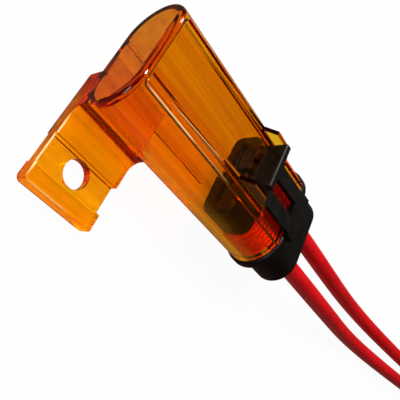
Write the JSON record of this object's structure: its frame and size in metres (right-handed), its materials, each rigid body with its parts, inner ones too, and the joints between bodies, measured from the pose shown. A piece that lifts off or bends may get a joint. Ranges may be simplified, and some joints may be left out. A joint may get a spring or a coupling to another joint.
{
  "type": "inline blade fuse holder",
  "caption": "Clear capped in-line holder for a plug-in blade fuse, with a screw tab on the cover, a hooked latch, a ribbed seal and heavy leads out of the back.",
  "frame": {"origin": "centre of the tab's screw hole, at the hole's back mouth", "axes": "+X from the cover's closed end to the leads, +Y away from the tab, +Z along the screw hole, out of the side that has the latch"},
  "size_m": [0.1871, 0.045, 0.0228],
  "materials": {
    "amber_plastic": "clear amber, glossy",
    "black_plastic": "semi-matt moulded black",
    "seal_rubber": "orange-red silicone",
    "terminal_metal": "tinned",
    "lead_insulation": "red, soft sheen",
    "copper": "bare stranded copper"
  },
  "bodies": {
    "holder_cover": {"cover": "amber_plastic"},
    "plug": {"connector_body": "black_plastic", "rear_cap": "black_plastic", "perimeter_seal": "seal_rubber", "terminal_left": "terminal_metal", "terminal_right": "terminal_metal", "cable_seal_left": "seal_rubber", "cable_seal_right": "seal_rubber", "lead_left": "lead_insulation", "lead_right": "lead_insulation", "strands_left": "copper", "strands_right": "copper"},
    "latch": {"lock_latch": "black_plastic"}
  },
  "joints": [
    {"name": "plug_slide", "type": "slide", "parent": "holder_cover", "child": "plug", "axis": [1, 0, 0], "range_m": [0, 0.045]},
    {"name": "latch_flex", "type": "hinge", "parent": "plug", "child": "latch", "pos_m": [0.0405, 0.021, 0.01785], "axis": [0, 1, 0], "range_deg": [0, 8], "stiffness_Nm_per_rad": 0.5}
  ]
}
